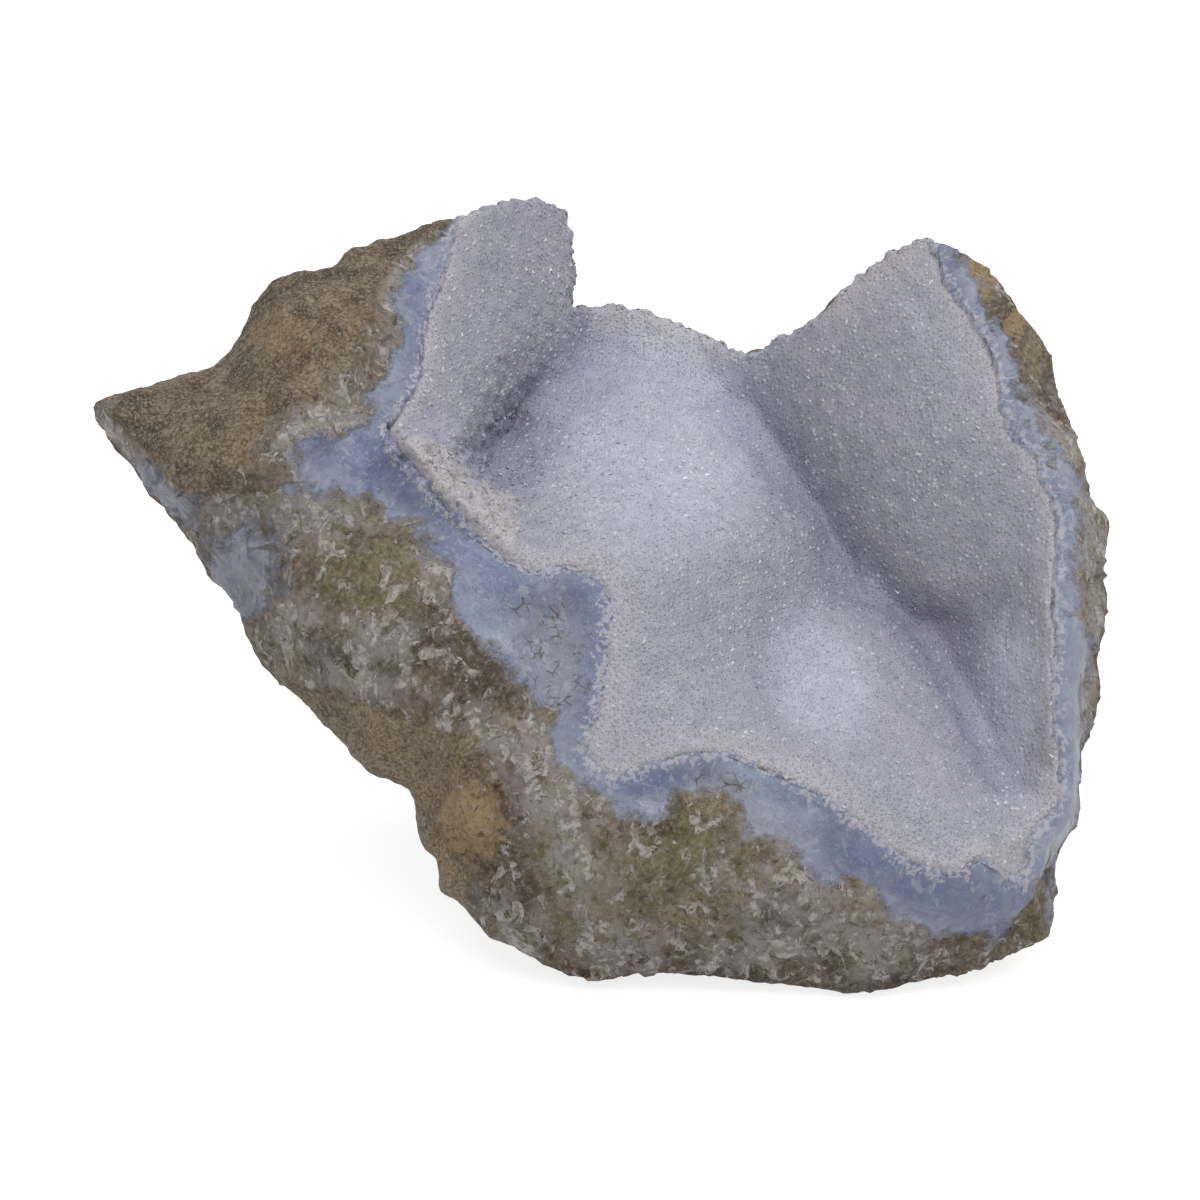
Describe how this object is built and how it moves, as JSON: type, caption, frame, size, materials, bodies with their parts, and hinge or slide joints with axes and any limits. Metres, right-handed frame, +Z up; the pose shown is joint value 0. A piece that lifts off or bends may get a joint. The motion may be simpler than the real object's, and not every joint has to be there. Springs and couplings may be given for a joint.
{
  "type": "blue lace agate geode",
  "caption": "Broken half of a rough stone with a hollow lined by sugary pale crystals, a blue banded layer and a brown weathered skin, at rest on a small flat spot.",
  "frame": {"origin": "middle of the stone's bounding box, on the surface it stands on", "axes": "+Z up, +X to the right as seen looking into the hollow, -Y towards the viewer"},
  "size_m": [0.1546, 0.1046, 0.1007],
  "materials": {
    "agate_rock": "rough",
    "druse": "sugary crystal"
  },
  "bodies": {
    "root": {"agate_rock": "agate_rock", "crystal_crust": "druse"}
  },
  "joints": []
}
